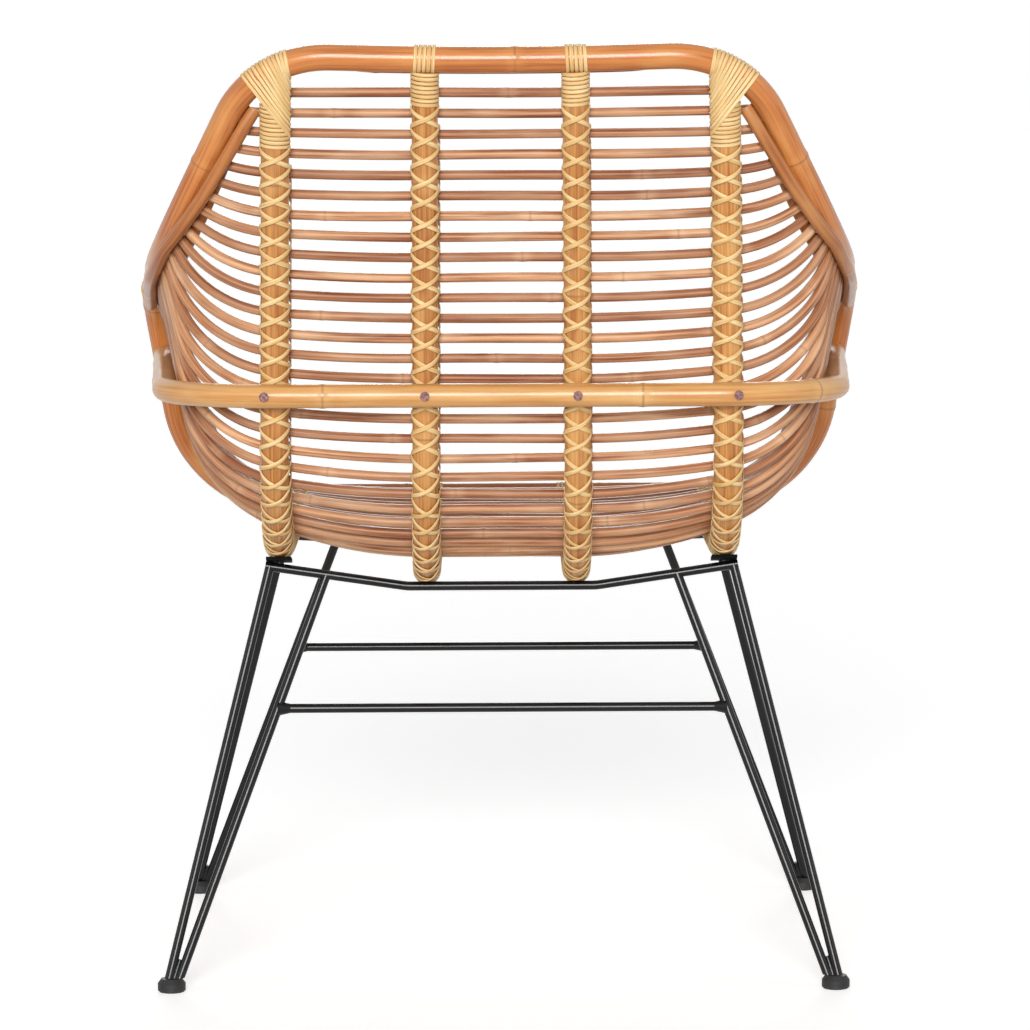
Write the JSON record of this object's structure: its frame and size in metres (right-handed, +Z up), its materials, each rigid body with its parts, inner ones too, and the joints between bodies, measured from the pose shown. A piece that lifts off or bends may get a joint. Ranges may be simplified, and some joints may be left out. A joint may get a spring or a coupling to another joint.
{
  "type": "rattan bucket chair",
  "caption": "Low-armed bucket chair: bent rattan sticks lashed to ribs and a continuous bent rail, on a splayed welded rod base with floor glides.",
  "frame": {"origin": "on the floor, under the middle of the chair's outer box", "axes": "+Z up, +Y the way the sitter faces, +X to the sitter's right"},
  "size_m": [0.6718, 0.6506, 0.8089],
  "materials": {
    "rattan_rail": "clear satin lacquer over honey-brown rattan",
    "rattan_hoop": "clear satin lacquer over golden rattan",
    "rattan_rib": "clear satin lacquer over brown rattan",
    "rattan_pole": "clear satin lacquer over brown rattan",
    "rattan_stick": "clear satin lacquer over red-brown rattan",
    "rattan_peel": "smooth straw-coloured rattan peel",
    "black_rod": "gloss black powder coat",
    "glide": "matt dark moulded plastic",
    "nail": "darkened steel",
    "screw": "blackened steel"
  },
  "bodies": {
    "root": {"arm_bindings": "rattan_peel", "back_arm_rail": "rattan_rail", "back_hoop": "rattan_hoop", "cross_sticks_01": "rattan_stick", "cross_sticks_02": "rattan_stick", "cross_sticks_03": "rattan_stick", "cross_sticks_04": "rattan_stick", "cross_sticks_05": "rattan_stick", "cross_sticks_06": "rattan_stick", "cross_sticks_07": "rattan_stick", "cross_sticks_08": "rattan_stick", "cross_sticks_09": "rattan_stick", "cross_sticks_10": "rattan_stick", "cross_sticks_11": "rattan_stick", "cross_sticks_12": "rattan_stick", "cross_sticks_13": "rattan_stick", "cross_sticks_14": "rattan_stick", "cross_sticks_15": "rattan_stick", "cross_sticks_16": "rattan_stick", "cross_sticks_17": "rattan_stick", "cross_sticks_18": "rattan_stick", "cross_sticks_19": "rattan_stick", "cross_sticks_20": "rattan_stick", "cross_sticks_21": "rattan_stick", "cross_sticks_22": "rattan_stick", "cross_sticks_23": "rattan_stick", "cross_sticks_24": "rattan_stick", "front_crossbar": "black_rod", "front_glide_left": "glide", "front_glide_right": "glide", "front_leg_left": "black_rod", "front_leg_right": "black_rod", "front_pole": "rattan_pole", "front_rail": "rattan_rail", "front_stretcher": "black_rod", "hoop_nails": "nail", "inner_pole": "rattan_pole", "inner_rib_lashing_left": "rattan_peel", "inner_rib_lashing_right": "rattan_peel", "inner_rib_left": "rattan_rib", "inner_rib_right": "rattan_rib", "mounting_plates": "black_rod", "outer_pole_left": "rattan_pole", "outer_pole_right": "rattan_pole", "outer_rib_lashing_left": "rattan_peel", "outer_rib_lashing_right": "rattan_peel", "outer_rib_left": "rattan_rib", "outer_rib_right": "rattan_rib", "plate_screws": "screw", "rear_crossbar": "black_rod", "rear_glide_left": "glide", "rear_glide_right": "glide", "rear_leg_left": "black_rod", "rear_leg_right": "black_rod", "rear_stretcher": "black_rod", "seat_front_bindings": "rattan_peel", "shoulder_bindings": "rattan_peel", "side_bar_left": "black_rod", "side_bar_right": "black_rod", "top_bindings": "rattan_peel"}
  },
  "joints": []
}
